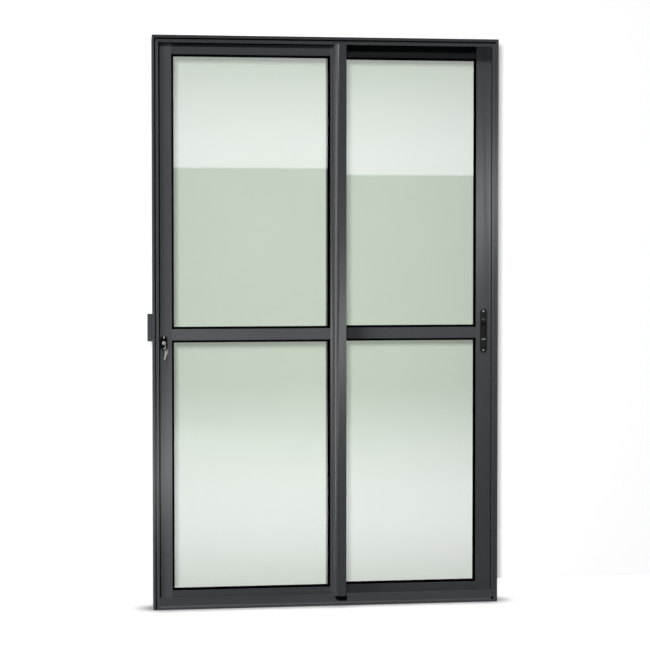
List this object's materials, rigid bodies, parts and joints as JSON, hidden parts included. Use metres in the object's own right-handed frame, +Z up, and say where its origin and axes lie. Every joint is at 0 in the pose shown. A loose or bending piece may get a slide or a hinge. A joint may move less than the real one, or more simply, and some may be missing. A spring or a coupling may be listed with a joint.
{
  "type": "glass sliding patio door",
  "caption": "Sliding patio door: aluminium frame with parallel tracks, framed glass leaves with mid rails, a rounded pull on the meeting stile, a key lock and a flush latch.",
  "frame": {"origin": "middle of the sill's underside, half way between the two tracks", "axes": "+X to the right along the frame, +Y back through its depth, +Z up; the lock and pull face -Y"},
  "size_m": [1.307, 0.1206, 2.1],
  "materials": {
    "frame_coat": "fine-textured graphite powder coat",
    "sash_coat": "fine-textured graphite powder coat",
    "glass": "clear float glass, faint green",
    "gasket": "black glazing rubber",
    "black_coat": "satin black enamel",
    "black_plastic": "moulded black",
    "bright_metal": "nickel plated",
    "plain_steel": "zinc plated",
    "nylon": "natural nylon",
    "stop_rubber": "black rubber"
  },
  "bodies": {
    "frame": {"frame_head": "frame_coat", "frame_sill": "frame_coat", "frame_left_jamb": "frame_coat", "frame_right_jamb": "frame_coat", "strike_box": "frame_coat", "lock_keeper": "plain_steel", "latch_keeper": "plain_steel", "track_stops": "stop_rubber"},
    "front_sash": {"front_bottom_rail": "sash_coat", "front_interlock": "sash_coat", "front_lock_stile": "sash_coat", "front_lower_gaskets": "gasket", "front_lower_glass": "glass", "front_meeting_stile": "sash_coat", "front_mid_rail": "sash_coat", "front_roller_carriages": "plain_steel", "front_roller_wheels": "nylon", "front_top_guides": "black_plastic", "front_top_rail": "sash_coat", "front_upper_gaskets": "gasket", "front_upper_glass": "glass", "key_ring": "bright_metal", "lock_cylinder": "bright_metal", "lock_face_plate": "plain_steel", "lock_key": "bright_metal", "lock_plates": "black_coat", "meeting_pull": "sash_coat", "spare_key": "bright_metal"},
    "rear_sash": {"flush_latch": "black_coat", "latch_face_plate": "plain_steel", "rear_bottom_rail": "sash_coat", "rear_interlock": "sash_coat", "rear_latch_stile": "sash_coat", "rear_lower_gaskets": "gasket", "rear_lower_glass": "glass", "rear_meeting_stile": "sash_coat", "rear_mid_rail": "sash_coat", "rear_roller_carriages": "plain_steel", "rear_roller_wheels": "nylon", "rear_top_guides": "black_plastic", "rear_top_rail": "sash_coat", "rear_upper_gaskets": "gasket", "rear_upper_glass": "glass"},
    "latch_trigger": {"latch_trigger": "black_plastic"}
  },
  "joints": [
    {"name": "front_sash_slide", "type": "slide", "parent": "frame", "child": "front_sash", "axis": [1, 0, 0], "range_m": [0, 0.54]},
    {"name": "rear_sash_slide", "type": "slide", "parent": "frame", "child": "rear_sash", "axis": [-1, 0, 0], "range_m": [0, 0.6]},
    {"name": "latch_trigger_slide", "type": "slide", "parent": "rear_sash", "child": "latch_trigger", "axis": [0, 0, -1], "range_m": [0, 0.008], "stiffness_N_per_m": 200, "springref_m": -0.004}
  ]
}
